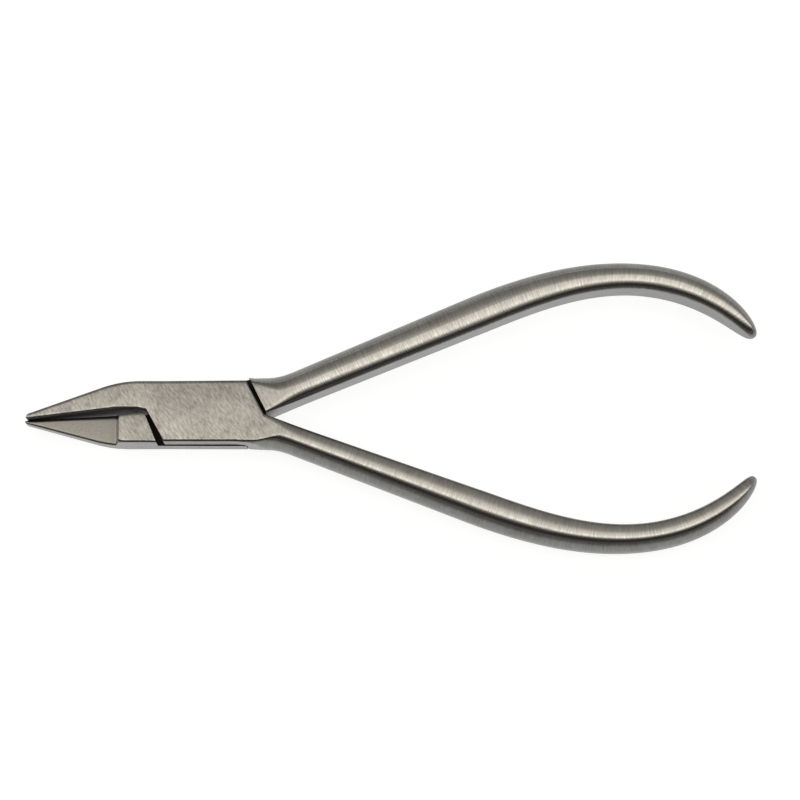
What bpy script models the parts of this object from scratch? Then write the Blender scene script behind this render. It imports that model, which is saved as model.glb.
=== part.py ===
# Orthodontic pliers with a lap joint, closed and lying on their back.
#
# Metres, +Z up. The pivot's axis is the world Z axis and the pliers rest on
# z = 0. The beaks point to -X and the handles to +X. Both halves are the same
# kind of forging: the front half has the upper beak, the front lap and the
# lower handle, and the back half is such a forging turned over about X, so it
# has the lower beak, the back lap and the upper handle. Each half is described
# in its own frame, lying with its lap upwards and its beak at +Y.

import math
from collections import namedtuple

import bmesh
import bpy
from mathutils import Vector

MM = 0.001

# Joint
THICKNESS = 8.2 * MM               # both laps together, and the rest of the joint
SEAM_GAP = 0.1 * MM                # running gap between the two lap faces
LAP_FRONT_REACH = 8.6 * MM         # pivot to the lap's slanted end towards the beaks
LAP_FRONT_ANGLE = math.radians(29.2)
SHOULDER_REACH = 9.576 * MM        # pivot to the other half's shoulder, beak side
SHOULDER_ANGLE = math.radians(22.2)
EDGE_WIDTH = 0.45 * MM             # soft edges: wide on the face, shallow on the side
EDGE_DROP = 0.15 * MM

# Pivot pin
PIN_RADIUS = 2.2 * MM
PIN_HEAD_RADIUS = 3.1 * MM
PIN_HEAD_DEPTH = 1.1 * MM
PIN_RUNNING_GAP = 0.05 * MM        # pin to the turning half, at the shank and head
PIN_SEAT_GAP = 0.02 * MM           # pin to the blind seat that holds it
PIN_COVER = 1.1 * MM               # metal left over the blind seat
PIN_SIDES = 40

# Beaks
CONTACT_DROP = 1.55 * MM           # the tips meet this far below the pivot's line
TIP_GAP = 0.08 * MM
TIP_ROUND = 0.4 * MM
TIP_SPREAD = 0.35                  # the tip's point, as a share of its width from inside
LIFT_LENGTH = 9.0 * MM             # the upper tip's back rises over this length
BEAK_FILLET = 20.0 * MM            # outer edge into the joint's edge
THROAT_X = -11.5 * MM              # where the inner faces reach the joint
THROAT_LEVEL = 0.37 * MM
SHOULDER_X = -14.5 * MM            # full-thickness shoulder block starts here
SHOULDER_SLOPE = 0.8 * MM          # run of the block's sloped wall
SHOULDER_LEVEL = 0.68 * MM         # the block's inner edge at its wall
BLOCK_EDGE_RUN = 0.9 * MM          # the block's outer corner is rounded over this length
BLOCK_EDGE_WIDTH = 0.85 * MM
BLOCK_EDGE_DROP = 0.6 * MM
JAW_ROUND_X = -25.0 * MM            # the recessed face's inner edge rounds more from here
JAW_ROUND_WIDTH = 0.75 * MM
JAW_ROUND_DROP = 0.3 * MM
THROAT_ROUND = (                   # plan points of the shoulder's rounded corner
    (-9.8 * MM, 1.33 * MM),
    (-10.05 * MM, 0.88 * MM),
    (-10.4 * MM, 0.58 * MM),
    (-10.86 * MM, 0.43 * MM),
    (-11.3 * MM, 0.36 * MM),
)

# Handles
ROOT_X = 9.0 * MM                  # where the handle's centre line starts
PALM_AT = 41.0 * MM                # along the centre line
NECK_AT = 72.0 * MM
END_ROUND = 12.0 * MM              # length over which the end thins
END_FULLNESS = 2.5                 # superellipse power of the rounded end
HANDLE_THICKNESS = 7.7 * MM        # at the bend
ROOT_BLEND = 1.0 * MM              # fillet between the root's swell and the handle's edge
OUTER_CROWN_SHARE = 0.55           # share of the width that the outer round takes
OUTER_DEPTH_SHARE = 0.4            # the round is at full depth at this share of its width
INNER_CROWN_SHARE = 0.42
INNER_CROWN_DROP = 1.2 * MM        # fall of the crown at the flat inner face
INNER_ROUND_START = 0.3 * MM
INNER_ROUND_END = 8.0 * MM

# Fineness
CORNER_STEPS = 5
BEAK_STATIONS = 12
TIP_STATIONS = 4
EDGE_STATIONS = 3
HANDLE_STATIONS = 34
ROOT_STATIONS = 8                  # and these in the root's first millimetres
ROOT_REACH = 6.0 * MM
END_INSET = 0.02 * MM              # the last section lies this far inside the end
BEND_STEPS = 60
SWELL_PASSES = 4
CUT_MARGIN = 3.0 * MM              # how far the cutters reach past the metal
OVERCUT = 1.0 * MM                 # level of the pocket's step past the crotch
SHARP_ANGLE = math.radians(35.0)
WIDEST_INNER_CORNER = 0.43         # corners stay under these shares of their section
WIDEST_OUTER_CORNER = 0.56
TALLEST_CORNER = 0.48

SEAM = THICKNESS / 2

Forging = namedtuple("Forging", (
    "beak_length",                 # pivot to tip
    "tip_width",
    "outer_angle",                 # of the beak's outer and inner edges
    "inner_angle",
    "tip_lift",                    # the back of the tip rises by this
    "recess",                      # depth of the recessed face at the tip and the shoulder
    "own_edge",                    # joint's edge on the side of the half's own beak
    "own_rise",                    # and how much it widens to the handles
    "far_edge",
    "swell",                       # (x, level) points of the far edge, towards the handle
    "rounding",                    # (x, width) points of the handle's outer round
    "lap_reach",                   # pivot to the lap's slanted end towards the handles
    "lap_angle",
    "pocket_reach",                # the same of the half's own shoulder, in the open layer
    "pocket_angle",
    "root_y",                      # the handle's centre line where it starts
    "handle_angle",
    "straight",                    # straight and bent lengths of the centre line
    "bent",
    "bend",                        # the heading turns by this with the square of the length
    "root_width",
    "palm_width",
    "neck_width",
    "end_taper",                   # length over which the end narrows
))

FRONT_FORGING = Forging(
    beak_length=30.4 * MM, tip_width=0.86 * MM,
    outer_angle=math.radians(19.8), inner_angle=math.radians(7.0),
    tip_lift=1.2 * MM, recess=None,
    own_edge=5.15 * MM, own_rise=0.15 * MM, far_edge=5.34 * MM,
    swell=((5.4 * MM, 5.34 * MM), (7.4 * MM, 5.5 * MM), (8.9 * MM, 5.72 * MM),
           (9.6 * MM, 5.98 * MM), (10.5 * MM, 6.1 * MM), (12.0 * MM, 6.0 * MM)),
    rounding=((5.4 * MM, 0.45 * MM), (7.4 * MM, 0.61 * MM), (8.9 * MM, 0.83 * MM),
              (9.6 * MM, 1.26 * MM), (10.5 * MM, 1.75 * MM), (12.2 * MM, 2.5 * MM),
              (16.0 * MM, 3.4 * MM)),
    lap_reach=8.77 * MM, lap_angle=math.radians(28.4),
    pocket_reach=9.09 * MM, pocket_angle=math.radians(31.3),
    root_y=2.46 * MM, handle_angle=math.radians(20.25),
    straight=36.63 * MM, bent=55.4 * MM, bend=math.radians(75.97),
    root_width=4.4 * MM, palm_width=5.73 * MM, neck_width=4.63 * MM, end_taper=21.7 * MM)

BACK_FORGING = Forging(
    beak_length=30.7 * MM, tip_width=0.48 * MM,
    outer_angle=math.radians(13.6), inner_angle=math.radians(-4.85),
    tip_lift=4.2 * MM, recess=(1.2 * MM, 3.9 * MM),
    own_edge=5.5 * MM, own_rise=0.05 * MM, far_edge=5.3 * MM,
    swell=((5.4 * MM, 5.3 * MM), (7.3 * MM, 6.05 * MM), (10.0 * MM, 6.2 * MM)),
    rounding=((5.4 * MM, 0.45 * MM), (7.3 * MM, 1.3 * MM), (8.0 * MM, 1.6 * MM),
              (10.85 * MM, 2.85 * MM), (12.8 * MM, 3.4 * MM), (15.0 * MM, 4.0 * MM)),
    lap_reach=8.94 * MM, lap_angle=math.radians(30.4),
    pocket_reach=9.44 * MM, pocket_angle=math.radians(26.6),
    root_y=1.8 * MM, handle_angle=math.radians(22.71),
    straight=37.2 * MM, bent=56.21 * MM, bend=math.radians(78.23),
    root_width=5.22 * MM, palm_width=6.16 * MM, neck_width=4.92 * MM, end_taper=21.95 * MM)

Station = namedtuple("Station", "start end low high start_corner end_corner")


def smooth(value, low, high):
    """0 below low, 1 above high, and an S curve between."""
    share = min(max((value - low) / (high - low), 0.0), 1.0)
    return share * share * (3 - 2 * share)


def mix(first, second, share):
    return first + (second - first) * share


def soft_max(first, second, blend):
    """The larger of two lengths, eased where they come within the blend of each other."""
    near = max(blend - abs(first - second), 0.0) / blend
    return max(first, second) + near * near * blend / 4


def line_point(reach, angle, level):
    """X where the slanted line of a lap end crosses a level.

    The line's normal points to the beaks and down at the angle."""
    return -(reach + level * math.sin(angle)) / math.cos(angle)


def table_value(points, x):
    """Height at x of the line through (x, height) points, level before and after them."""
    for (x_before, before), (x_after, after) in zip(points, points[1:]):
        if x < x_after:
            return mix(before, after, max((x - x_before) / (x_after - x_before), 0.0))
    return points[-1][1]


def joint_edge(forging, x):
    """Edge on the side of the half's own beak."""
    share = (x + LAP_FRONT_REACH) / (2 * LAP_FRONT_REACH)
    return forging.own_edge + forging.own_rise * min(max(share, 0.0), 1.0)


def filleted_edge(x, start, angle, level, radius):
    """A straight edge that rises from start at the angle and rounds off at a level."""
    corner_x = start.x + (level - start.y) / math.tan(angle)
    tangent = radius * math.tan(angle / 2)
    if x < corner_x - tangent * math.cos(angle):
        return start.y + (x - start.x) * math.tan(angle)
    if x > corner_x + tangent:
        return level
    run = x - corner_x - tangent
    return level - radius + math.sqrt(radius * radius - run * run)


def ring(station):
    """Points of one section: an upright plane through two plan points, with an elliptical
    quarter at each corner."""
    across = station.end - station.start
    width = across.length
    side = across.normalized()
    height = station.high - station.low
    start_a = min(station.start_corner[0], width * WIDEST_INNER_CORNER)
    end_a = min(station.end_corner[0], width * WIDEST_OUTER_CORNER)
    start_b = min(station.start_corner[1], height * TALLEST_CORNER)
    end_b = min(station.end_corner[1], height * TALLEST_CORNER)
    turns = [math.pi / 2 * step / CORNER_STEPS for step in range(CORNER_STEPS + 1)]
    spots = []
    for turn in turns:
        spots.append((start_a * (1 - math.cos(turn)), station.high - start_b * (1 - math.sin(turn))))
    for turn in reversed(turns):
        spots.append((width - end_a * (1 - math.cos(turn)), station.high - end_b * (1 - math.sin(turn))))
    for turn in turns:
        spots.append((width - end_a * (1 - math.cos(turn)), station.low + end_b * (1 - math.sin(turn))))
    for turn in reversed(turns):
        spots.append((start_a * (1 - math.cos(turn)), station.low + start_b * (1 - math.sin(turn))))
    points = []
    for run, height_at in spots:
        plan = station.start + side * run
        points.append(Vector((plan.x, plan.y, height_at)))
    return points


def loft(stations):
    """Skin the sections into one closed body by extruding a face along them."""
    bm = bmesh.new()
    first = [bm.verts.new(point) for point in ring(stations[0])]
    face = bm.faces.new(first)
    for station in stations[1:]:
        face = bmesh.ops.extrude_discrete_faces(bm, faces=[face])["faces"][0]
        for vert, point in zip(face.verts, ring(station)):
            vert.co = point
    bm.faces.new(reversed(first))
    bmesh.ops.recalc_face_normals(bm, faces=bm.faces)
    return bm


def tip_share(distance):
    """Share of the full width that the rounded tip has at a distance from its end."""
    share = min(distance / TIP_ROUND, 1.0)
    return math.sqrt(1 - (1 - share) ** 2)


def beak_spots(forging):
    """Where along X the beak's sections lie."""
    tip_x = -forging.beak_length
    quarters = [math.pi / 2 * step / TIP_STATIONS for step in range(1, TIP_STATIONS + 1)]
    spots = [tip_x + TIP_ROUND * (1 - math.cos(turn)) for turn in quarters]
    run = THROAT_X - spots[-1]
    spots += [spots[-1] + run * step / BEAK_STATIONS for step in range(1, BEAK_STATIONS + 1)]
    if forging.recess:
        rounded_x = SHOULDER_X + BLOCK_EDGE_RUN
        spots = [x for x in spots if not SHOULDER_X - SHOULDER_SLOPE < x < rounded_x]
        spots += [SHOULDER_X - SHOULDER_SLOPE]
        spots += [mix(SHOULDER_X, rounded_x, step / EDGE_STATIONS) for step in range(EDGE_STATIONS + 1)]
        spots.sort()
    return spots


def beak_stations(forging, inner_tip):
    """Sections from the tip to the throat, with the outer edge at +Y."""
    outer_tip = inner_tip + Vector((0, forging.tip_width))
    tip_x = inner_tip.x
    edge = (EDGE_WIDTH, EDGE_DROP)
    stations = []
    for x in beak_spots(forging):
        outer = filleted_edge(x, outer_tip, forging.outer_angle, joint_edge(forging, x), BEAK_FILLET)
        inner = inner_tip.y + (x - tip_x) * math.tan(forging.inner_angle)
        outer_round = edge
        inner_round = edge
        if forging.recess and x >= SHOULDER_X:
            low, high = 0.0, THICKNESS
            share = (THROAT_X - x) / (THROAT_X - SHOULDER_X)
            inner = mix(THROAT_LEVEL, SHOULDER_LEVEL, share ** 2)
            share = max(1 - (x - SHOULDER_X) / BLOCK_EDGE_RUN, 0.0) ** 2
            outer_round = (mix(EDGE_WIDTH, BLOCK_EDGE_WIDTH, share),
                           mix(EDGE_DROP, BLOCK_EDGE_DROP, share))
        elif forging.recess:
            share = (x - tip_x) / (SHOULDER_X - tip_x)
            low = mix(*forging.recess, share)
            high = THICKNESS - forging.tip_lift * (1 - share)
            share = smooth(x, JAW_ROUND_X, SHOULDER_X - SHOULDER_SLOPE)
            inner_round = (mix(EDGE_WIDTH, JAW_ROUND_WIDTH, share),
                           mix(EDGE_DROP, JAW_ROUND_DROP, share))
        else:
            low = forging.tip_lift * (1 - smooth(x, tip_x, tip_x + LIFT_LENGTH))
            high = THICKNESS
            inner = min(inner, THROAT_LEVEL)
        share = tip_share(x - tip_x)
        middle = mix(inner, outer, TIP_SPREAD)
        start = Vector((x, mix(middle, outer, share)))
        end = Vector((x, mix(middle, inner, share)))
        stations.append(Station(start, end, low, high, outer_round, inner_round))
    return stations


def centre_line(forging, length):
    """Point and heading of the handle's centre line."""
    straight = min(length, forging.straight)
    heading = Vector((math.cos(forging.handle_angle), math.sin(forging.handle_angle)))
    point = Vector((ROOT_X, forging.root_y)) + heading * straight
    bent = length - straight
    for step in range(BEND_STEPS):
        share = bent * (step + 0.5) / BEND_STEPS / forging.bent
        turn = forging.handle_angle - forging.bend * share ** 2
        point += Vector((math.cos(turn), math.sin(turn))) * (bent / BEND_STEPS)
    return point, forging.handle_angle - forging.bend * (bent / forging.bent) ** 2


def end_share(forging, length, reach):
    """How full the handle is near its end, from 1 down to 0."""
    share = min(max((length - forging.straight - forging.bent + reach) / reach, 0.0), 1.0)
    return (1 - share ** END_FULLNESS) ** (1 / END_FULLNESS)


def handle_width(forging, length):
    if length < PALM_AT:
        width = mix(forging.root_width, forging.palm_width, length / PALM_AT)
    else:
        width = mix(forging.palm_width, forging.neck_width, smooth(length, PALM_AT, NECK_AT))
    return width * end_share(forging, length, forging.end_taper)


def outer_corner(forging, x, width, thickness):
    """The round on the handle's outer side: the flat face runs out in a slanted line."""
    full = width * OUTER_CROWN_SHARE
    run = min(max(table_value(forging.rounding, x), EDGE_WIDTH), full)
    share = (run - EDGE_WIDTH) / (full - EDGE_WIDTH)
    return (run, mix(EDGE_DROP, thickness / 2, min(share / OUTER_DEPTH_SHARE, 1.0)))


def joint_stations(forging):
    """Sections across the lap, from the throat to the lap's rear end."""
    edge = (EDGE_WIDTH, EDGE_DROP)
    start_x = line_point(LAP_FRONT_REACH, LAP_FRONT_ANGLE, 0.0)
    edge_x = line_point(LAP_FRONT_REACH, LAP_FRONT_ANGLE, -forging.far_edge)
    rear_level = forging.own_edge + forging.own_rise
    rear_x = -line_point(forging.lap_reach, forging.lap_angle, -rear_level)
    swell_x = forging.swell[0][0]
    stations = [Station(Vector((start_x, joint_edge(forging, start_x))), Vector((start_x, 0.0)),
                        0.0, THICKNESS, edge, edge)]
    for x in (edge_x, swell_x, mix(swell_x, rear_x, 0.5), rear_x):
        far = table_value(forging.swell, x)
        stations.append(Station(Vector((x, joint_edge(forging, x))), Vector((x, -far)),
                                0.0, THICKNESS, edge, outer_corner(forging, x, 2 * far, THICKNESS)))
    return stations


def inner_edge(forging, length):
    """The handle's inner edge and the direction across it."""
    point, heading = centre_line(forging, length)
    across = Vector((-math.sin(heading), math.cos(heading)))
    return point - across * handle_width(forging, length) / 2, across


def root_length(forging):
    """Where along the centre line the handle's inner edge meets the lap's rear end."""
    past = []
    for length in (0.0, MM):
        inner = inner_edge(forging, length)[0]
        past.append(inner.x * math.cos(forging.lap_angle) - inner.y * math.sin(forging.lap_angle)
                    - forging.lap_reach)
    return MM * past[0] / (past[0] - past[1])


def handle_lengths(forging):
    """Where along the centre line the sections lie: close at the root and at the end."""
    start = root_length(forging)
    total = forging.straight + forging.bent
    lengths = [start + ROOT_REACH * step / ROOT_STATIONS for step in range(ROOT_STATIONS)]
    for step in range(HANDLE_STATIONS + 1):
        share = math.sin(math.pi / 2 * step / HANDLE_STATIONS)
        lengths.append(mix(start + ROOT_REACH, total - END_INSET, share))
    return lengths


def handle_stations(forging):
    """Sections of the handle, which runs down and away from the crotch."""
    stations = []
    for length in handle_lengths(forging):
        inner, across = inner_edge(forging, length)
        width = handle_width(forging, length)
        outer = inner + across * width
        if length < forging.straight:
            for step in range(SWELL_PASSES):
                swell = (table_value(forging.swell, outer.x) - inner.y) / across.y
                outer = inner + across * soft_max(width, swell, ROOT_BLEND)
            width = (outer - inner).length
        thickness = mix(THICKNESS, HANDLE_THICKNESS, smooth(length, 0.0, NECK_AT))
        thickness *= end_share(forging, length, END_ROUND)
        low = (THICKNESS - thickness) / 2
        rounded = smooth(length, INNER_ROUND_START, INNER_ROUND_END)
        inner_corner = (mix(EDGE_WIDTH, width * INNER_CROWN_SHARE, rounded),
                        mix(EDGE_DROP, INNER_CROWN_DROP * thickness / THICKNESS, rounded))
        stations.append(Station(Vector((inner.x, -inner.y)), Vector((outer.x, -outer.y)),
                                low, THICKNESS - low, inner_corner,
                                outer_corner(forging, outer.x, width, thickness)))
    return stations


def new_object(name, bm, material):
    mesh = bpy.data.meshes.new(name)
    bm.to_mesh(mesh)
    bm.free()
    mesh.materials.append(material)
    obj = bpy.data.objects.new(name, mesh)
    bpy.context.scene.collection.objects.link(obj)
    return obj


def hide_cutter(cutter, owner):
    """A cutter follows the half that it cuts, and isn't part of the object."""
    cutter.hide_render = True
    cutter.display_type = "WIRE"
    cutter.parent = owner
    cut = owner.modifiers.new(cutter.name, "BOOLEAN")
    cut.operation = "DIFFERENCE"
    cut.solver = "EXACT"
    cut.object = cutter


def prism(outline, low, high):
    """An upright block over a plan outline."""
    bm = bmesh.new()
    face = bm.faces.new([bm.verts.new((x, y, low)) for x, y in outline])
    walls = bmesh.ops.extrude_face_region(bm, geom=[face])
    top = [item for item in walls["geom"] if isinstance(item, bmesh.types.BMVert)]
    bmesh.ops.translate(bm, verts=top, vec=(0, 0, high - low))
    bmesh.ops.recalc_face_normals(bm, faces=bm.faces)
    return bm


def turned(profile):
    """A solid turned about Z from (radius, height) points that start and end on the axis."""
    bm = bmesh.new()
    verts = [bm.verts.new((radius, 0, height)) for radius, height in profile]
    edges = [bm.edges.new(pair) for pair in zip(verts, verts[1:])]
    bmesh.ops.spin(bm, geom=verts + edges, axis=(0, 0, 1), cent=(0, 0, 0),
                   angle=2 * math.pi, steps=PIN_SIDES, use_merge=True)
    bmesh.ops.remove_doubles(bm, verts=bm.verts, dist=MM / 1000)
    bmesh.ops.recalc_face_normals(bm, faces=bm.faces)
    return bm


def pocket(forging):
    """Plan outline of the half's open layer, where the other half's lap lies."""
    beyond = forging.own_edge + CUT_MARGIN
    front_high = (line_point(SHOULDER_REACH, SHOULDER_ANGLE, -beyond), beyond)
    front_low = (THROAT_ROUND[-1][0], -beyond)
    rear_low = (-line_point(forging.pocket_reach, forging.pocket_angle, -beyond), -beyond)
    rear_high = (-line_point(forging.pocket_reach, forging.pocket_angle, 0.0), 0.0)
    clear_x = rear_high[0] + CUT_MARGIN
    return [front_high, *THROAT_ROUND, front_low, rear_low, rear_high,
            (rear_high[0], OVERCUT), (clear_x, OVERCUT), (clear_x, beyond)]


def half(name, forging, inner_tip, material):
    stations = beak_stations(forging, inner_tip) + joint_stations(forging) + handle_stations(forging)
    obj = new_object(name, loft(stations), material)
    open_layer = prism(pocket(forging), -CUT_MARGIN, SEAM + SEAM_GAP / 2)
    hide_cutter(new_object(name + "_pocket", open_layer, material), obj)
    obj.data.shade_smooth()
    obj.data.set_sharp_from_angle(angle=SHARP_ANGLE)
    return obj


def front_half(material):
    inner_tip = Vector((-FRONT_FORGING.beak_length, -CONTACT_DROP + TIP_GAP / 2))
    obj = half("front_half", FRONT_FORGING, inner_tip, material)
    seat = PIN_RADIUS + PIN_SEAT_GAP
    depth = THICKNESS - PIN_COVER + PIN_SEAT_GAP
    profile = [(0, 0), (seat, 0), (seat, depth), (0, depth)]
    hide_cutter(new_object("pin_seat", turned(profile), material), obj)
    return obj


def back_half(material):
    inner_tip = Vector((-BACK_FORGING.beak_length, CONTACT_DROP + TIP_GAP / 2))
    obj = half("back_half", BACK_FORGING, inner_tip, material)
    shank = PIN_RADIUS + PIN_RUNNING_GAP
    head = PIN_HEAD_RADIUS + PIN_RUNNING_GAP
    seat_level = THICKNESS - PIN_HEAD_DEPTH - PIN_RUNNING_GAP
    profile = [(0, 0), (shank, 0), (shank, seat_level), (head, seat_level),
               (head, THICKNESS + CUT_MARGIN), (0, THICKNESS + CUT_MARGIN)]
    hide_cutter(new_object("pin_bore", turned(profile), material), obj)
    obj.rotation_euler = (math.pi, 0, 0)
    obj.location = (0, 0, THICKNESS)
    return obj


def pivot_pin(material):
    """Flush pin: its head lies level with the back, its end in the front half's blind seat."""
    profile = [(0, 0), (PIN_HEAD_RADIUS, 0), (PIN_HEAD_RADIUS, PIN_HEAD_DEPTH),
               (PIN_RADIUS, PIN_HEAD_DEPTH), (PIN_RADIUS, THICKNESS - PIN_COVER),
               (0, THICKNESS - PIN_COVER)]
    obj = new_object("pivot_pin", turned(profile), material)
    obj.data.shade_smooth()
    obj.data.set_sharp_from_angle(angle=SHARP_ANGLE)
    return obj


def steel(name, colour, roughness):
    material = bpy.data.materials.new(name)
    material.use_nodes = True
    shader = material.node_tree.nodes["Principled BSDF"]
    shader.inputs["Base Color"].default_value = (*colour, 1.0)
    shader.inputs["Metallic"].default_value = 1.0
    shader.inputs["Roughness"].default_value = roughness
    return material


def main():
    for obj in list(bpy.data.objects):
        bpy.data.objects.remove(obj)
    satin = steel("satin_steel", (0.60, 0.58, 0.54), 0.36)
    ground = steel("ground_pin_steel", (0.66, 0.65, 0.62), 0.28)
    front_half(satin)
    back_half(satin)
    pivot_pin(ground)


main()
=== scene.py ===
# Slim orthodontic pliers in satin stainless steel, on a plain pale floor.
#
# Both halves are forgings skinned over sections, from the beak's tip to the
# handle's end. Each is described in its own frame, with its beak at +Y and its
# lap upwards, and the back half is then turned over about X.

import math
from collections import namedtuple

import bmesh
import bpy
from mathutils import Matrix, Vector


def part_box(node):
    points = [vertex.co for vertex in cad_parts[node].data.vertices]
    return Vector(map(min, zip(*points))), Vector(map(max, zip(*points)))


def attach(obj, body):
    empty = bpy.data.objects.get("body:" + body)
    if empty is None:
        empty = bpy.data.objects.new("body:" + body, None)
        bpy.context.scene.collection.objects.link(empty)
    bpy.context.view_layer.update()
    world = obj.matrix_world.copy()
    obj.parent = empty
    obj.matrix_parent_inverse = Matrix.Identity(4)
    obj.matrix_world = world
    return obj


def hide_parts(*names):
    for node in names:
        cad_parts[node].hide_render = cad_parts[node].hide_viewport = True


MM = 0.001

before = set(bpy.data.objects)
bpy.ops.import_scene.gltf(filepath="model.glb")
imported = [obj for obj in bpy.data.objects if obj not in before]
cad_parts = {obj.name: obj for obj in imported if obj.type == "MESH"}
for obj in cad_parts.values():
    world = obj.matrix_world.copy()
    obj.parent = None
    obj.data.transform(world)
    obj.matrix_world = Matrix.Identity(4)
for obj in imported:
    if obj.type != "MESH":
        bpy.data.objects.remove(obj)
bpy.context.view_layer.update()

# Sizes of the joint, as in the solids
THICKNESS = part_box("front_half")[1].z
SEAM = THICKNESS / 2
SEAM_GAP = 0.1 * MM                # running gap between the two lap faces
LAP_FRONT_REACH = 8.6 * MM         # pivot to the lap's slanted end towards the beaks
LAP_FRONT_ANGLE = math.radians(29.2)
SHOULDER_REACH = 9.576 * MM        # pivot to the other half's shoulder, beak side
SHOULDER_ANGLE = math.radians(22.2)

# Soft edges, broader than in the solids, and the flat faces' slight crown, which is guessed
# from the tones across the lap
EDGE_WIDTH = 0.58 * MM             # on the face
EDGE_DROP = 0.3 * MM               # on the side
FACE_RADIUS = 75.0 * MM
EDGE_BREAK = 0.07 * MM             # bevel on the edges that the cuts leave
EDGE_BREAK_ANGLE = math.radians(50)
EDGE_BREAK_STEPS = 2
FLAT_FACE_WEIGHT = 80              # how strongly large faces keep their shading flat

# Pivot pin
PIN_RADIUS = 2.2 * MM
PIN_HEAD_RADIUS = 3.1 * MM
PIN_HEAD_DEPTH = 1.1 * MM
PIN_RUNNING_GAP = 0.05 * MM        # pin to the turning half, at the shank and head
PIN_SEAT_GAP = 0.02 * MM           # pin to the blind seat that holds it
PIN_COVER = 1.1 * MM               # metal left over the blind seat
PIN_SIDES = 96

# Beaks
CONTACT_DROP = 1.55 * MM           # the tips meet this far below the pivot's line
TIP_GAP = 0.08 * MM
TIP_ROUND = 0.4 * MM
TIP_SPREAD = 0.35                  # the tip's point, as a share of its width from inside
LIFT_LENGTH = 9.0 * MM             # the upper tip's back rises over this length
BEAK_FILLET = 20.0 * MM            # outer edge into the joint's edge
THROAT_X = -11.5 * MM              # where the inner faces reach the joint
THROAT_LEVEL = 0.37 * MM
SHOULDER_X = -14.5 * MM            # full-thickness shoulder block starts here
SHOULDER_SLOPE = 0.8 * MM          # run of the block's sloped wall
SHOULDER_LEVEL = 0.68 * MM         # the block's inner edge at its wall
BLOCK_EDGE_RUN = 0.9 * MM          # the block's outer corner is rounded over this length
BLOCK_EDGE_WIDTH = 0.85 * MM
BLOCK_EDGE_DROP = 0.6 * MM
JAW_ROUND_X = -25.0 * MM            # the recessed face's inner edge rounds more from here
JAW_ROUND_WIDTH = 0.75 * MM
JAW_ROUND_DROP = 0.3 * MM
THROAT_ROUND = (                   # plan points of the shoulder's rounded corner
    (-9.8 * MM, 1.33 * MM),
    (-10.05 * MM, 0.88 * MM),
    (-10.4 * MM, 0.58 * MM),
    (-10.86 * MM, 0.43 * MM),
    (-11.3 * MM, 0.36 * MM),
)

# Handles
ROOT_X = 9.0 * MM                  # where the handle's centre line starts
PALM_AT = 41.0 * MM                # along the centre line
NECK_AT = 72.0 * MM
END_ROUND = 12.0 * MM              # length over which the end thins
END_FULLNESS = 2.5                 # superellipse power of the rounded end
HANDLE_THICKNESS = 7.7 * MM        # at the bend
ROOT_BLEND = 1.0 * MM              # fillet between the root's swell and the handle's edge
OUTER_CROWN_SHARE = 0.55           # share of the width that the outer round takes
OUTER_DEPTH_SHARE = 0.4            # the round is at full depth at this share of its width
INNER_CROWN_SHARE = 0.42
INNER_CROWN_DROP = 1.2 * MM        # fall of the crown at the flat inner face
INNER_ROUND_START = 0.3 * MM
INNER_ROUND_END = 8.0 * MM

# Where the faces' finish passes into the sides' matt finish and painted shade, by the upright share of
# the normal
SIDE_FROM = 0.74
FACE_FROM = 0.86
FLAT_NORMAL = 0.9                  # a face this nearly level is the recess's
WALL_NORMAL = 0.8                  # a face this nearly upright is the beak's inner wall

# Fineness of the surface
CORNER_STEPS = 12
FACE_STEPS = 8
BEAK_STATIONS = 40
TIP_STATIONS = 8
EDGE_STATIONS = 6
HANDLE_STATIONS = 110
ROOT_STATIONS = 24
ROOT_REACH = 6.0 * MM
END_INSET = 0.01 * MM
BEND_STEPS = 60
SWELL_PASSES = 4
CUT_MARGIN = 3.0 * MM
OVERCUT = 1.0 * MM
WIDEST_INNER_CORNER = 0.43         # corners stay under these shares of their section
WIDEST_OUTER_CORNER = 0.56
TALLEST_CORNER = 0.48

# Photograph and camera
FRAME_SIZE = 800
PIVOT_PIXEL = (203.8, 410.3)       # where the pivot's axis meets the front face
PIXEL_SIZE = 0.1708 * MM           # on the front face at the pivot
CAMERA_DISTANCE = 450 * MM
CAMERA_TILT = math.radians(10.0)
SENSOR_WIDTH = 36.0

Forging = namedtuple("Forging", (
    "beak_length",                 # pivot to tip
    "tip_width",
    "outer_angle",                 # of the beak's outer and inner edges
    "inner_angle",
    "tip_lift",                    # the back of the tip rises by this
    "recess",                      # depth of the recessed face at the tip and the shoulder
    "own_edge",                    # joint's edge on the side of the half's own beak
    "own_rise",                    # and how much it widens to the handles
    "far_edge",
    "swell",                       # (x, level) points of the far edge, towards the handle
    "rounding",                    # (x, width) points of the handle's outer round
    "lap_reach",                   # pivot to the lap's slanted end towards the handles
    "lap_angle",
    "pocket_reach",                # the same of the half's own shoulder, in the open layer
    "pocket_angle",
    "root_y",                      # the handle's centre line where it starts
    "handle_angle",
    "straight",                    # straight and bent lengths of the centre line
    "bent",
    "bend",                        # the heading turns by this with the square of the length
    "root_width",
    "palm_width",
    "neck_width",
    "end_taper",                   # length over which the end narrows
))

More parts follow.
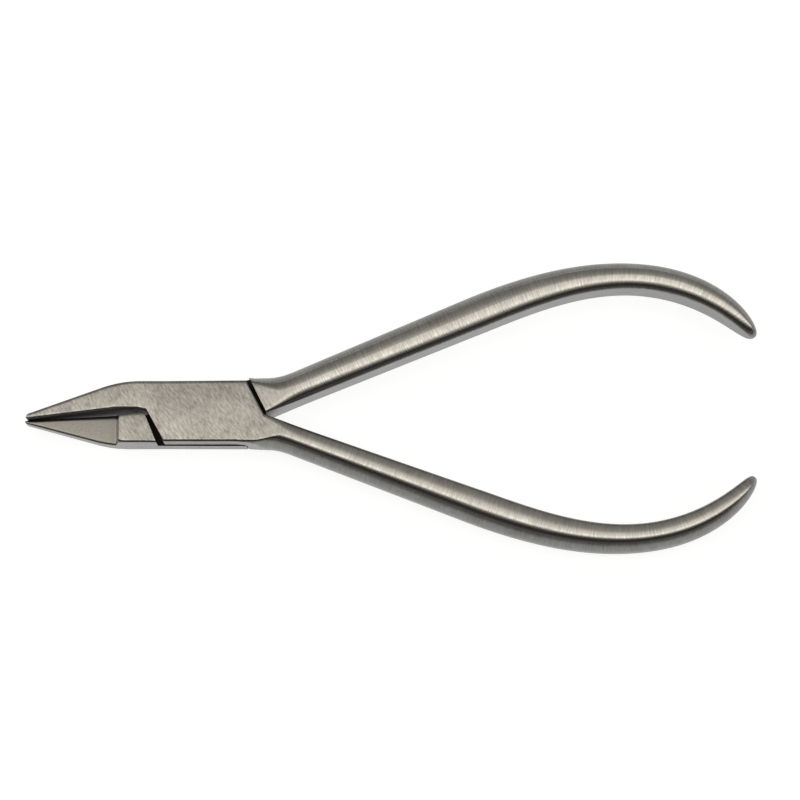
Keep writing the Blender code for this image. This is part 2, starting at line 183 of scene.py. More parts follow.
FRONT_FORGING = Forging(
    beak_length=30.4 * MM, tip_width=0.86 * MM,
    outer_angle=math.radians(19.8), inner_angle=math.radians(7.0),
    tip_lift=1.2 * MM, recess=None,
    own_edge=5.15 * MM, own_rise=0.15 * MM, far_edge=5.34 * MM,
    swell=((5.4 * MM, 5.34 * MM), (7.4 * MM, 5.5 * MM), (8.9 * MM, 5.72 * MM),
           (9.6 * MM, 5.98 * MM), (10.5 * MM, 6.1 * MM), (12.0 * MM, 6.0 * MM)),
    rounding=((5.4 * MM, 0.45 * MM), (7.4 * MM, 0.61 * MM), (8.9 * MM, 0.83 * MM),
              (9.6 * MM, 1.26 * MM), (10.5 * MM, 1.75 * MM), (12.2 * MM, 2.5 * MM),
              (16.0 * MM, 3.4 * MM)),
    lap_reach=8.77 * MM, lap_angle=math.radians(28.4),
    pocket_reach=9.09 * MM, pocket_angle=math.radians(31.3),
    root_y=2.46 * MM, handle_angle=math.radians(20.25),
    straight=36.63 * MM, bent=55.4 * MM, bend=math.radians(75.97),
    root_width=4.4 * MM, palm_width=5.73 * MM, neck_width=4.63 * MM, end_taper=21.7 * MM)

BACK_FORGING = Forging(
    beak_length=30.7 * MM, tip_width=0.48 * MM,
    outer_angle=math.radians(13.6), inner_angle=math.radians(-4.85),
    tip_lift=4.2 * MM, recess=(1.2 * MM, 3.9 * MM),
    own_edge=5.5 * MM, own_rise=0.05 * MM, far_edge=5.3 * MM,
    swell=((5.4 * MM, 5.3 * MM), (7.3 * MM, 6.05 * MM), (10.0 * MM, 6.2 * MM)),
    rounding=((5.4 * MM, 0.45 * MM), (7.3 * MM, 1.3 * MM), (8.0 * MM, 1.6 * MM),
              (10.85 * MM, 2.85 * MM), (12.8 * MM, 3.4 * MM), (15.0 * MM, 4.0 * MM)),
    lap_reach=8.94 * MM, lap_angle=math.radians(30.4),
    pocket_reach=9.44 * MM, pocket_angle=math.radians(26.6),
    root_y=1.8 * MM, handle_angle=math.radians(22.71),
    straight=37.2 * MM, bent=56.21 * MM, bend=math.radians(78.23),
    root_width=5.22 * MM, palm_width=6.16 * MM, neck_width=4.92 * MM, end_taper=21.95 * MM)

Station = namedtuple("Station", "along start end low high start_corner end_corner")


def smooth(value, low, high):
    """0 below low, 1 above high, and an S curve between."""
    share = min(max((value - low) / (high - low), 0.0), 1.0)
    return share * share * (3 - 2 * share)


def mix(first, second, share):
    return first + (second - first) * share


def soft_max(first, second, blend):
    """The larger of two lengths, eased where they come within the blend of each other."""
    near = max(blend - abs(first - second), 0.0) / blend
    return max(first, second) + near * near * blend / 4


def line_point(reach, angle, level):
    """X where the slanted line of a lap end crosses a level."""
    return -(reach + level * math.sin(angle)) / math.cos(angle)


def table_value(points, x):
    """Height at x of the line through (x, height) points, level before and after them."""
    for (x_before, before), (x_after, after) in zip(points, points[1:]):
        if x < x_after:
            return mix(before, after, max((x - x_before) / (x_after - x_before), 0.0))
    return points[-1][1]


def joint_edge(forging, x):
    """Edge on the side of the half's own beak."""
    share = (x + LAP_FRONT_REACH) / (2 * LAP_FRONT_REACH)
    return forging.own_edge + forging.own_rise * min(max(share, 0.0), 1.0)


def filleted_edge(x, start, angle, level, radius):
    """A straight edge that rises from start at the angle and rounds off at a level."""
    corner_x = start.x + (level - start.y) / math.tan(angle)
    tangent = radius * math.tan(angle / 2)
    if x < corner_x - tangent * math.cos(angle):
        return start.y + (x - start.x) * math.tan(angle)
    if x > corner_x + tangent:
        return level
    run = x - corner_x - tangent
    return level - radius + math.sqrt(radius * radius - run * run)


def ring(station):
    """Points of one section: an upright plane through two plan points, with an elliptical
    quarter at each corner."""
    across = station.end - station.start
    width = across.length
    side = across.normalized()
    height = station.high - station.low
    start_a = min(station.start_corner[0], width * WIDEST_INNER_CORNER)
    end_a = min(station.end_corner[0], width * WIDEST_OUTER_CORNER)
    start_b = min(station.start_corner[1], height * TALLEST_CORNER)
    end_b = min(station.end_corner[1], height * TALLEST_CORNER)
    turns = [math.pi / 2 * step / CORNER_STEPS for step in range(CORNER_STEPS + 1)]
    spots = []
    for turn in turns:
        spots.append((start_a * (1 - math.cos(turn)), station.high - start_b * (1 - math.sin(turn))))
    across_face = [mix(start_a, width - end_a, step / FACE_STEPS) for step in range(1, FACE_STEPS)]
    spots += [(run, station.high) for run in across_face]
    for turn in reversed(turns):
        spots.append((width - end_a * (1 - math.cos(turn)), station.high - end_b * (1 - math.sin(turn))))
    for turn in turns:
        spots.append((width - end_a * (1 - math.cos(turn)), station.low + end_b * (1 - math.sin(turn))))
    spots += [(run, station.low) for run in reversed(across_face)]
    for turn in reversed(turns):
        spots.append((start_a * (1 - math.cos(turn)), station.low + start_b * (1 - math.sin(turn))))
    middle = (station.low + station.high) / 2
    points = []
    for run, height_at in spots:
        sag = (run - width / 2) ** 2 / (2 * FACE_RADIUS)
        height_at = middle + (height_at - middle) * (1 - 2 * sag / height)
        plan = station.start + side * run
        points.append(Vector((plan.x, plan.y, height_at)))
    return points


def loft(stations):
    """Skin the sections by extruding a face along them. The grain map holds the run along
    the forging and the run around it, in metres, and the sides' map is 1 on the sides,
    where it gives their matt finish and painted shade."""
    bm = bmesh.new()
    along = {}
    around = {}
    first = [bm.verts.new(point) for point in ring(stations[0])]
    face = bm.faces.new(first)
    for station in stations:
        if station is not stations[0]:
            face = bmesh.ops.extrude_discrete_faces(bm, faces=[face])["faces"][0]
        run = 0.0
        last = None
        for vert, point in zip(face.verts, ring(station)):
            run += (point - last).length if last else 0.0
            last = point
            vert.co = point
            along[vert] = station.along
            around[vert] = run
    bm.faces.new(reversed(first))
    bmesh.ops.recalc_face_normals(bm, faces=bm.faces)
    bm.normal_update()
    grain = bm.loops.layers.uv.new("grain")
    finish_and_shade = bm.loops.layers.uv.new("finish_and_shade")
    for face in bm.faces:
        for loop in face.loops:
            side = 1 - smooth(abs(loop.vert.normal.z), SIDE_FROM, FACE_FROM)
            loop[grain].uv = (along[loop.vert], around[loop.vert])
            loop[finish_and_shade].uv = (side, 0)
    return bm


def tip_share(distance):
    share = min(distance / TIP_ROUND, 1.0)
    return math.sqrt(1 - (1 - share) ** 2)


def beak_spots(forging):
    """Where along X the beak's sections lie."""
    tip_x = -forging.beak_length
    quarters = [math.pi / 2 * step / TIP_STATIONS for step in range(1, TIP_STATIONS + 1)]
    spots = [tip_x + TIP_ROUND * (1 - math.cos(turn)) for turn in quarters]
    run = THROAT_X - spots[-1]
    spots += [spots[-1] + run * step / BEAK_STATIONS for step in range(1, BEAK_STATIONS + 1)]
    if forging.recess:
        rounded_x = SHOULDER_X + BLOCK_EDGE_RUN
        spots = [x for x in spots if not SHOULDER_X - SHOULDER_SLOPE < x < rounded_x]
        spots += [SHOULDER_X - SHOULDER_SLOPE]
        spots += [mix(SHOULDER_X, rounded_x, step / EDGE_STATIONS) for step in range(EDGE_STATIONS + 1)]
        spots.sort()
    return spots


def beak_stations(forging, inner_tip):
    """Sections from the tip to the throat, with the outer edge at +Y."""
    outer_tip = inner_tip + Vector((0, forging.tip_width))
    tip_x = inner_tip.x
    edge = (EDGE_WIDTH, EDGE_DROP)
    stations = []
    for x in beak_spots(forging):
        outer = filleted_edge(x, outer_tip, forging.outer_angle, joint_edge(forging, x), BEAK_FILLET)
        inner = inner_tip.y + (x - tip_x) * math.tan(forging.inner_angle)
        outer_round = edge
        inner_round = edge
        if forging.recess and x >= SHOULDER_X:
            low, high = 0.0, THICKNESS
            share = (THROAT_X - x) / (THROAT_X - SHOULDER_X)
            inner = mix(THROAT_LEVEL, SHOULDER_LEVEL, share ** 2)
            share = max(1 - (x - SHOULDER_X) / BLOCK_EDGE_RUN, 0.0) ** 2
            outer_round = (mix(EDGE_WIDTH, BLOCK_EDGE_WIDTH, share),
                           mix(EDGE_DROP, BLOCK_EDGE_DROP, share))
        elif forging.recess:
            share = (x - tip_x) / (SHOULDER_X - tip_x)
            low = mix(*forging.recess, share)
            high = THICKNESS - forging.tip_lift * (1 - share)
            share = smooth(x, JAW_ROUND_X, SHOULDER_X - SHOULDER_SLOPE)
            inner_round = (mix(EDGE_WIDTH, JAW_ROUND_WIDTH, share),
                           mix(EDGE_DROP, JAW_ROUND_DROP, share))
        else:
            low = forging.tip_lift * (1 - smooth(x, tip_x, tip_x + LIFT_LENGTH))
            high = THICKNESS
            inner = min(inner, THROAT_LEVEL)
        share = tip_share(x - tip_x)
        middle = mix(inner, outer, TIP_SPREAD)
        start = Vector((x, mix(middle, outer, share)))
        end = Vector((x, mix(middle, inner, share)))
        stations.append(Station(x, start, end, low, high, outer_round, inner_round))
    return stations


def centre_line(forging, length):
    """Point and heading of the handle's centre line."""
    straight = min(length, forging.straight)
    heading = Vector((math.cos(forging.handle_angle), math.sin(forging.handle_angle)))
    point = Vector((ROOT_X, forging.root_y)) + heading * straight
    bent = length - straight
    for step in range(BEND_STEPS):
        share = bent * (step + 0.5) / BEND_STEPS / forging.bent
        turn = forging.handle_angle - forging.bend * share ** 2
        point += Vector((math.cos(turn), math.sin(turn))) * (bent / BEND_STEPS)
    return point, forging.handle_angle - forging.bend * (bent / forging.bent) ** 2


def end_share(forging, length, reach):
    """How full the handle is near its end, from 1 down to 0."""
    share = min(max((length - forging.straight - forging.bent + reach) / reach, 0.0), 1.0)
    return (1 - share ** END_FULLNESS) ** (1 / END_FULLNESS)


def handle_width(forging, length):
    if length < PALM_AT:
        width = mix(forging.root_width, forging.palm_width, length / PALM_AT)
    else:
        width = mix(forging.palm_width, forging.neck_width, smooth(length, PALM_AT, NECK_AT))
    return width * end_share(forging, length, forging.end_taper)


def outer_corner(forging, x, width, thickness):
    """The round on the handle's outer side: the flat face runs out in a slanted line."""
    full = width * OUTER_CROWN_SHARE
    run = min(max(table_value(forging.rounding, x), EDGE_WIDTH), full)
    share = (run - EDGE_WIDTH) / (full - EDGE_WIDTH)
    return (run, mix(EDGE_DROP, thickness / 2, min(share / OUTER_DEPTH_SHARE, 1.0)))


def joint_stations(forging):
    """Sections across the lap, from the throat to the lap's rear end."""
    edge = (EDGE_WIDTH, EDGE_DROP)
    start_x = line_point(LAP_FRONT_REACH, LAP_FRONT_ANGLE, 0.0)
    edge_x = line_point(LAP_FRONT_REACH, LAP_FRONT_ANGLE, -forging.far_edge)
    rear_level = forging.own_edge + forging.own_rise
    rear_x = -line_point(forging.lap_reach, forging.lap_angle, -rear_level)
    swell_x = forging.swell[0][0]
    stations = [Station(start_x, Vector((start_x, joint_edge(forging, start_x))), Vector((start_x, 0.0)),
                        0.0, THICKNESS, edge, edge)]
    for x in (edge_x, swell_x, mix(swell_x, rear_x, 0.5), rear_x):
        far = table_value(forging.swell, x)
        stations.append(Station(x, Vector((x, joint_edge(forging, x))), Vector((x, -far)),
                                0.0, THICKNESS, edge, outer_corner(forging, x, 2 * far, THICKNESS)))
    return stations


def inner_edge(forging, length):
    """The handle's inner edge and the direction across it."""
    point, heading = centre_line(forging, length)
    across = Vector((-math.sin(heading), math.cos(heading)))
    return point - across * handle_width(forging, length) / 2, across


def root_length(forging):
    """Where along the centre line the handle's inner edge meets the lap's rear end."""
    past = []
    for length in (0.0, MM):
        inner = inner_edge(forging, length)[0]
        past.append(inner.x * math.cos(forging.lap_angle) - inner.y * math.sin(forging.lap_angle)
                    - forging.lap_reach)
    return MM * past[0] / (past[0] - past[1])


def handle_lengths(forging):
    """Where along the centre line the sections lie: close at the root and at the end."""
    start = root_length(forging)
    total = forging.straight + forging.bent
    lengths = [start + ROOT_REACH * step / ROOT_STATIONS for step in range(ROOT_STATIONS)]
    for step in range(HANDLE_STATIONS + 1):
        share = math.sin(math.pi / 2 * step / HANDLE_STATIONS)
        lengths.append(mix(start + ROOT_REACH, total - END_INSET, share))
    return lengths


def handle_stations(forging):
    """Sections of the handle, which runs down and away from the crotch."""
    stations = []
    for length in handle_lengths(forging):
        inner, across = inner_edge(forging, length)
        width = handle_width(forging, length)
        outer = inner + across * width
        if length < forging.straight:
            for step in range(SWELL_PASSES):
                swell = (table_value(forging.swell, outer.x) - inner.y) / across.y
                outer = inner + across * soft_max(width, swell, ROOT_BLEND)
            width = (outer - inner).length
        thickness = mix(THICKNESS, HANDLE_THICKNESS, smooth(length, 0.0, NECK_AT))
        thickness *= end_share(forging, length, END_ROUND)
        low = (THICKNESS - thickness) / 2
        rounded = smooth(length, INNER_ROUND_START, INNER_ROUND_END)
        inner_corner = (mix(EDGE_WIDTH, width * INNER_CROWN_SHARE, rounded),
                        mix(EDGE_DROP, INNER_CROWN_DROP * thickness / THICKNESS, rounded))
        stations.append(Station(ROOT_X + length, Vector((inner.x, -inner.y)), Vector((outer.x, -outer.y)),
                                low, THICKNESS - low, inner_corner,
                                outer_corner(forging, outer.x, width, thickness)))
    return stations


def new_object(name, bm):
    mesh = bpy.data.meshes.new(name)
    bm.to_mesh(mesh)
    bm.free()
    obj = bpy.data.objects.new(name, mesh)
    bpy.context.scene.collection.objects.link(obj)
    return obj


def prism(outline, low, high):
    """An upright block over a plan outline."""
    bm = bmesh.new()
    face = bm.faces.new([bm.verts.new((x, y, low)) for x, y in outline])
    walls = bmesh.ops.extrude_face_region(bm, geom=[face])
    top = [item for item in walls["geom"] if isinstance(item, bmesh.types.BMVert)]
    bmesh.ops.translate(bm, verts=top, vec=(0, 0, high - low))
    bmesh.ops.recalc_face_normals(bm, faces=bm.faces)
    return bm


def turned(profile):
    """A solid turned about Z from (radius, height) points that start and end on the axis."""
    bm = bmesh.new()
    verts = [bm.verts.new((radius, 0, height)) for radius, height in profile]
    edges = [bm.edges.new(pair) for pair in zip(verts, verts[1:])]
    bmesh.ops.spin(bm, geom=verts + edges, axis=(0, 0, 1), cent=(0, 0, 0),
                   angle=2 * math.pi, steps=PIN_SIDES, use_merge=True)
    bmesh.ops.remove_doubles(bm, verts=bm.verts, dist=MM / 1000)
    bmesh.ops.recalc_face_normals(bm, faces=bm.faces)
    return bm


def pocket(forging):
    """Plan outline of the half's open layer, where the other half's lap lies."""
    beyond = forging.own_edge + CUT_MARGIN
    front_high = (line_point(SHOULDER_REACH, SHOULDER_ANGLE, -beyond), beyond)
    front_low = (THROAT_ROUND[-1][0], -beyond)
    rear_low = (-line_point(forging.pocket_reach, forging.pocket_angle, -beyond), -beyond)
    rear_high = (-line_point(forging.pocket_reach, forging.pocket_angle, 0.0), 0.0)
    clear_x = rear_high[0] + CUT_MARGIN
    return [front_high, *THROAT_ROUND, front_low, rear_low, rear_high,
            (rear_high[0], OVERCUT), (clear_x, OVERCUT), (clear_x, beyond)]


def cutter(name, bm):
    """A cutter whose faces carry the second material, the painted shade of the milled joint faces."""
    for face in bm.faces:
        face.material_index = 1
    return new_object(name, bm)


def cut(obj, cutters):
    """Take the cutters out of the object and keep only the result."""
    for tool in cutters:
        modifier = obj.modifiers.new(tool.name, "BOOLEAN")
        modifier.operation = "DIFFERENCE"
        modifier.solver = "EXACT"
        modifier.object = tool
    graph = bpy.context.evaluated_depsgraph_get()
    mesh = bpy.data.meshes.new_from_object(obj.evaluated_get(graph))
    obj.modifiers.clear()
    obj.data = mesh
    for tool in cutters:
        bpy.data.objects.remove(tool)


def finish_edges(obj):
    """Break the sharp edges that the cuts left, and keep the flat faces flat."""
    bevel = obj.modifiers.new("edge_break", "BEVEL")
    bevel.limit_method = "ANGLE"
    bevel.angle_limit = EDGE_BREAK_ANGLE
    bevel.width = EDGE_BREAK
    bevel.segments = EDGE_BREAK_STEPS
    bevel.use_clamp_overlap = True
    weighted = obj.modifiers.new("flat_faces", "WEIGHTED_NORMAL")
    weighted.weight = FLAT_FACE_WEIGHT
    weighted.keep_sharp = True
    obj.data.shade_smooth()


def dress(obj, metals):
    for metal in metals:
        obj.data.materials.append(metal)


def half(name, forging, inner_tip, metals, pin_profile):
    stations = beak_stations(forging, inner_tip) + joint_stations(forging) + handle_stations(forging)
    obj = new_object(name, loft(stations))
    dress(obj, metals)
    open_layer = prism(pocket(forging), -CUT_MARGIN, SEAM + SEAM_GAP / 2)
    cut(obj, [cutter("pocket", open_layer), cutter("pin_hole", turned(pin_profile))])
    return obj


def front_half(metals):
    inner_tip = Vector((-FRONT_FORGING.beak_length, -CONTACT_DROP + TIP_GAP / 2))
    seat = PIN_RADIUS + PIN_SEAT_GAP
    top = THICKNESS - PIN_COVER + PIN_SEAT_GAP
    profile = [(0, 0), (seat, 0), (seat, top), (0, top)]
    obj = half("upper_jaw_half", FRONT_FORGING, inner_tip, metals, profile)
    # The upper beak's inner wall, which faces the lower beak, takes the joint's painted shade
    for face in obj.data.polygons:
        inner_wall = face.normal.y < -WALL_NORMAL and face.center.y > inner_tip.y - MM
        if inner_wall and face.center.x < THROAT_X / 2:
            face.material_index = 1
    return obj


def back_half(metals):
    inner_tip = Vector((-BACK_FORGING.beak_length, CONTACT_DROP + TIP_GAP / 2))
    shank = PIN_RADIUS + PIN_RUNNING_GAP
    head = PIN_HEAD_RADIUS + PIN_RUNNING_GAP
    level = THICKNESS - PIN_HEAD_DEPTH - PIN_RUNNING_GAP
    beyond = THICKNESS + CUT_MARGIN
    profile = [(0, 0), (shank, 0), (shank, level), (head, level), (head, beyond), (0, beyond)]
    obj = half("lower_jaw_half", BACK_FORGING, inner_tip, metals, profile)
    for face in obj.data.polygons:
        if face.normal.z < -FLAT_NORMAL and face.center.x < SHOULDER_X:
            face.material_index = 2
    obj.data.transform(Matrix.Translation((0, 0, THICKNESS)) @ Matrix.Rotation(math.pi, 4, "X"))
    return obj


def flush_pin(metal):
    top = THICKNESS - PIN_COVER
    profile = [(0, 0), (PIN_HEAD_RADIUS, 0), (PIN_HEAD_RADIUS, PIN_HEAD_DEPTH),
               (PIN_RADIUS, PIN_HEAD_DEPTH), (PIN_RADIUS, top), (0, top)]
    obj = new_object("flush_pin", turned(profile))
    dress(obj, [metal])
    return obj


def linear(code):
    """An sRGB hex colour as linear red, green, blue and alpha."""
    values = [int(code[place:place + 2], 16) / 255 for place in (1, 3, 5)]
    return [v / 12.92 if v <= 0.04045 else ((v + 0.055) / 1.055) ** 2.4 for v in values] + [1.0]


def add_node(tree, kind, settings=None, links=None, **inputs):
    """Add a node with its settings, constants and links; links map an input to a socket."""
    node = tree.nodes.new(kind)
    for name, value in (settings or {}).items():
        setattr(node, name, value)
    for name, value in inputs.items():
        node.inputs[name.replace("_", " ")].default_value = value
    for name, socket in (links or {}).items():
        tree.links.new(socket, node.inputs[name])
    return node


def new_material(name):
    material = bpy.data.materials.new(name)
    material.use_nodes = True
    material.node_tree.nodes.clear()
    return material, material.node_tree


def calculate(tree, operation, *values):
    """A Math node over numbers and sockets; returns its result's socket."""
    node = add_node(tree, "ShaderNodeMath", {"operation": operation})
    for socket, value in zip(node.inputs, values):
        if isinstance(value, bpy.types.NodeSocket):
            tree.links.new(value, socket)
        else:
            socket.default_value = value
    return node.outputs[0]


def two_tone(tree, factor, dark, light):
    """A colour between two, given as hex codes or as sockets; returns its socket."""
    node = add_node(tree, "ShaderNodeMix", {"data_type": "RGBA"}, links={"Factor": factor})
    for socket, tone in ((node.inputs[6], dark), (node.inputs[7], light)):
        if isinstance(tone, str):
            socket.default_value = linear(tone)
        else:
            tree.links.new(tone, socket)
    return node.outputs[2]


def satin_steel():
    """Stainless steel ground on a belt and then satined: soft, slightly streaked
    reflections. The handles carry fine marks across their length, the flat faces a
    coarser slanted grain that makes them look duller. The sides are guessed to be left as
    blasted, which makes them matt; their darker grey is painted shade."""
    material, tree = new_material("satin_stainless_steel")
    place = add_node(tree, "ShaderNodeTexCoord")
    grain_map = add_node(tree, "ShaderNodeUVMap", {"uv_map": "grain"})
    finish_and_shade_map = add_node(tree, "ShaderNodeUVMap", {"uv_map": "finish_and_shade"})
    runs = add_node(tree, "ShaderNodeSeparateXYZ", links={"Vector": grain_map.outputs[0]})
    side = add_node(tree, "ShaderNodeSeparateXYZ", links={"Vector": finish_and_shade_map.outputs[0]}).outputs["X"]
    # Belt marks across the forging, 0.3 mm apart here, because real ones of 0.05 mm wouldn't show
    stretch = add_node(tree, "ShaderNodeMapping", Scale=(3300, 420, 1),
                       links={"Vector": grain_map.outputs[0]})
    belt = add_node(tree, "ShaderNodeTexNoise", Scale=1.0, Detail=4.0, Roughness=0.65,
                    links={"Vector": stretch.outputs[0]})
    # Hand-finishing marks on the flat faces, 0.35 mm apart and 1.2 mm long, slanting down to
    # the right; they are turned before they are stretched
    slant = add_node(tree, "ShaderNodeMapping", Rotation=(0, 0, math.radians(-32)),
                     links={"Vector": place.outputs["Object"]})
    drawn = add_node(tree, "ShaderNodeMapping", Scale=(2800, 850, 850),
                     links={"Vector": slant.outputs[0]})
    marks = add_node(tree, "ShaderNodeTexNoise", Scale=1.0, Detail=4.0, Roughness=0.65,
                     links={"Vector": drawn.outputs[0]})
    # Uneven satining in patches of about 3 mm
    patches = add_node(tree, "ShaderNodeTexNoise", Scale=330.0, Detail=2.0,
                       links={"Vector": place.outputs["Object"]})
    on_handle = add_node(tree, "ShaderNodeMapRange", links={"Value": runs.outputs["X"]},
                         From_Min=0.009, From_Max=0.018)
    grind = add_node(tree, "ShaderNodeMix", links={"Factor": on_handle.outputs[0]})
    tree.links.new(marks.outputs["Fac"], grind.inputs["A"])
    tree.links.new(belt.outputs["Fac"], grind.inputs["B"])
    uneven = calculate(tree, "MULTIPLY_ADD", patches.outputs["Fac"], 0.35, grind.outputs[0])
    grain = add_node(tree, "ShaderNodeMapRange", links={"Value": uneven}, From_Min=0.47, From_Max=0.87)
    flat_tone = two_tone(tree, grain.outputs[0], "#908e8b", "#c5c3bf")
    handle_tone = two_tone(tree, grain.outputs[0], "#b4b3b0", "#dad9d6")
    tone = two_tone(tree, on_handle.outputs[0], flat_tone, handle_tone)
    # Painted shade: the sides, found by their normals, take a darker grey than the faces
    side_shade_tone = two_tone(tree, grain.outputs[0], "#6e6e6c", "#8a8a87")
    whole_tone = two_tone(tree, side, tone, side_shade_tone)
    smoothed = add_node(tree, "ShaderNodeMapRange", links={"Value": grain.outputs[0]},
                        To_Min=0.26, To_Max=0.17)
    rough = add_node(tree, "ShaderNodeMix", links={"Factor": side, "A": smoothed.outputs[0]}, B=0.34)
    bump = add_node(tree, "ShaderNodeBump", links={"Height": grind.outputs[0]},
                    Strength=0.5, Distance=0.04 * MM)
    shader = add_node(tree, "ShaderNodeBsdfPrincipled", Metallic=1.0,
                      links={"Base Color": whole_tone, "Roughness": rough.outputs[0],
                             "Normal": bump.outputs[0]})
    add_node(tree, "ShaderNodeOutputMaterial", links={"Surface": shader.outputs["BSDF"]})
    return material


def recess_steel():
    """The beak's recessed face, an even, duller grey, guessed to be ground with a fine wheel."""
    material, tree = new_material("fine_ground_steel")
    place = add_node(tree, "ShaderNodeTexCoord")
    # Grinding marks 0.25 mm apart
    grit = add_node(tree, "ShaderNodeTexNoise", Scale=4000.0, Detail=3.0,
                    links={"Vector": place.outputs["Object"]})
    tone = two_tone(tree, grit.outputs["Fac"], "#84827e", "#b7b5b0")
    shader = add_node(tree, "ShaderNodeBsdfPrincipled", Metallic=1.0, Roughness=0.3,
                      links={"Base Color": tone})
    add_node(tree, "ShaderNodeOutputMaterial", links={"Surface": shader.outputs["BSDF"]})
    return material


def joint_painted_shade_steel():
    """Milled and lapped stainless steel inside the joint and on the upper beak's inner
    wall, coloured near black as painted shade for the joint's crevices and for the wall,
    which faces the lower beak."""
    material, tree = new_material("milled_joint_steel_painted_shade")
    place = add_node(tree, "ShaderNodeTexCoord")
    # Uneven painted shade, in blotches of about 1 mm
    blotch = add_node(tree, "ShaderNodeTexNoise", Scale=1000.0, Detail=3.0,
                      links={"Vector": place.outputs["Object"]})
    tone = two_tone(tree, blotch.outputs["Fac"], "#161514", "#3a3834")
    shader = add_node(tree, "ShaderNodeBsdfPrincipled", Metallic=1.0, Roughness=0.5,
                      links={"Base Color": tone})
    add_node(tree, "ShaderNodeOutputMaterial", links={"Surface": shader.outputs["BSDF"]})
    return material


def ground_steel():
    """The pin's end, which the photograph doesn't show, guessed to be ground flush with the
    back on a wheel: brighter, with straight marks."""
    material, tree = new_material("wheel_ground_steel")
    place = add_node(tree, "ShaderNodeTexCoord")
    # Wheel marks 0.2 mm apart
    stretch = add_node(tree, "ShaderNodeMapping", Scale=(400, 5000, 400),
                       links={"Vector": place.outputs["Object"]})
    marks = add_node(tree, "ShaderNodeTexNoise", Scale=1.0, Detail=3.0,
                     links={"Vector": stretch.outputs[0]})
    tone = two_tone(tree, marks.outputs["Fac"], "#c2beb5", "#e0ddd6")
    bump = add_node(tree, "ShaderNodeBump", links={"Height": marks.outputs["Fac"]},
                    Strength=0.2, Distance=0.02 * MM)
    shader = add_node(tree, "ShaderNodeBsdfPrincipled", Metallic=1.0, Roughness=0.24,
                      links={"Base Color": tone, "Normal": bump.outputs[0]})
    add_node(tree, "ShaderNodeOutputMaterial", links={"Surface": shader.outputs["BSDF"]})
    return material


# The studio's light by its angle about the pliers' length, in degrees from straight up
# and positive away from the viewer: a long overhead softbox that is brightest at its
# near rim, a dim wall behind it and a room in front that is only lit near the ground
ROOM_LIGHT = ((-180, 0.3), (-95, 0.3), (-82, 0.3), (-68, 0.15), (-56, 0.02), (-34, 0.02),
              (-29, 0.16), (-22, 0.25),
              (-17, 0.78), (-12, 1.75), (-6, 1.32), (2, 1.16), (8, 1.03), (14, 0.9), (18, 0.7),
              (24, 0.45), (34, 0.32), (50, 0.26), (66, 0.22), (90, 0.26), (180, 0.3))


def room():
    """The world: the studio's light, the same for every ray."""
    world = bpy.data.worlds.new("room")
    bpy.context.scene.world = world
    world.use_nodes = True
    tree = world.node_tree
    tree.nodes.clear()
    place = add_node(tree, "ShaderNodeTexCoord")
    sides = add_node(tree, "ShaderNodeSeparateXYZ", links={"Vector": place.outputs["Generated"]})
    angle = calculate(tree, "ARCTAN2", sides.outputs["Y"], sides.outputs["Z"])
    share = add_node(tree, "ShaderNodeMapRange", links={"Value": angle},
                     From_Min=-math.pi, From_Max=math.pi)
    light = add_node(tree, "ShaderNodeFloatCurve", links={"Value": share.outputs[0]})
    curve = light.mapping.curves[0]
    brightest = max(level for degrees, level in ROOM_LIGHT)
    while len(curve.points) < len(ROOM_LIGHT):
        curve.points.new(0.5, 0.5)
    for point, (degrees, level) in zip(curve.points, ROOM_LIGHT):
        point.location = ((degrees + 180) / 360, level / brightest)
        point.handle_type = "VECTOR"
    light.mapping.update()
    strength = calculate(tree, "MULTIPLY", light.outputs[0], brightest)
    # The softbox is a little warm
    background = add_node(tree, "ShaderNodeBackground", Color=linear("#fff9ee"),
                          links={"Strength": strength})
    add_node(tree, "ShaderNodeOutputWorld", links={"Surface": background.outputs[0]})


# The floor's own light brings the open floor, which the softbox lights too, to white
FLOOR_GLOW = 0.84
FLOOR_REACH = 2.0                  # metres from the middle to each edge


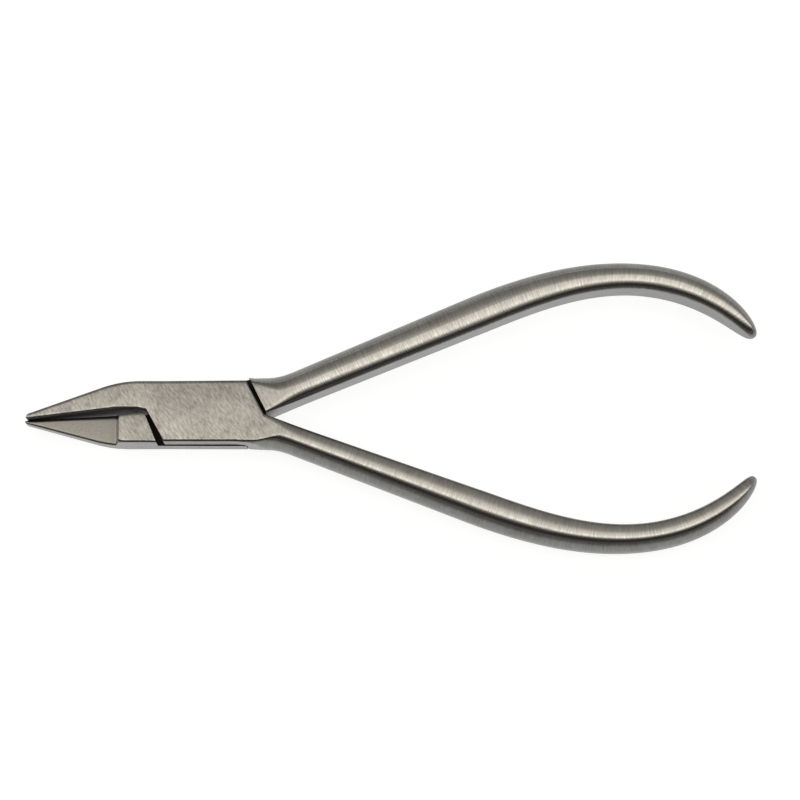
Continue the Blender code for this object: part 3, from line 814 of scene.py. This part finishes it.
def floor():
    """Plain pale paper. It is white for the camera and in the metal, adds no light of its
    own to the object and keeps a soft shadow."""
    bm = bmesh.new()
    bmesh.ops.create_grid(bm, x_segments=1, y_segments=1, size=FLOOR_REACH)
    obj = new_object("floor", bm)
    material, tree = new_material("pale_paper")
    shader = add_node(tree, "ShaderNodeBsdfDiffuse", Color=linear("#a9abae"))
    path = add_node(tree, "ShaderNodeLightPath")
    mirrored = calculate(tree, "ADD", path.outputs["Is Glossy Ray"], path.outputs["Is Transmission Ray"])
    seen = calculate(tree, "MAXIMUM", path.outputs["Is Camera Ray"], mirrored)
    strength = calculate(tree, "MULTIPLY", seen, FLOOR_GLOW)
    glow = add_node(tree, "ShaderNodeEmission", links={"Strength": strength})
    both = add_node(tree, "ShaderNodeAddShader")
    tree.links.new(shader.outputs[0], both.inputs[0])
    tree.links.new(glow.outputs[0], both.inputs[1])
    add_node(tree, "ShaderNodeOutputMaterial", links={"Surface": both.outputs[0]})
    obj.data.materials.append(material)


def camera():
    """A long lens above the pliers, tilted towards the viewer, with the beaks on the left."""
    lens = bpy.data.cameras.new("camera")
    lens.sensor_width = SENSOR_WIDTH
    focal_pixels = CAMERA_DISTANCE / PIXEL_SIZE
    lens.lens = focal_pixels * SENSOR_WIDTH / FRAME_SIZE
    lens.clip_start = 0.01
    lens.clip_end = 10.0
    obj = bpy.data.objects.new("camera", lens)
    bpy.context.scene.collection.objects.link(obj)
    forward = Vector((0, math.sin(CAMERA_TILT), -math.cos(CAMERA_TILT)))
    up = Vector((0, math.cos(CAMERA_TILT), math.sin(CAMERA_TILT)))
    aside = (PIVOT_PIXEL[0] - FRAME_SIZE / 2) * PIXEL_SIZE
    above = (FRAME_SIZE / 2 - PIVOT_PIXEL[1]) * PIXEL_SIZE
    pivot = Vector((0, 0, THICKNESS))
    obj.location = pivot - forward * CAMERA_DISTANCE - Vector((aside, 0, 0)) - up * above
    obj.rotation_euler = (CAMERA_TILT, 0, 0)
    bpy.context.scene.camera = obj


def main():
    bpy.context.scene.view_settings.view_transform = "Standard"
    room()
    floor()
    camera()
    steel = satin_steel()
    # Painted shade for the joint's faces and the upper beak's inner wall
    joint_shade = joint_painted_shade_steel()
    recess = recess_steel()
    for obj, node, body, slot in (
        (front_half([steel, joint_shade]), "front_half", "front_half", "satin_steel"),
        (back_half([steel, joint_shade, recess]), "back_half", "back_half", "satin_steel"),
        (flush_pin(ground_steel()), "pivot_pin", "front_half", "ground_pin_steel"),
    ):
        finish_edges(obj)
        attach(obj, body)
        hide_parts(node)


main()
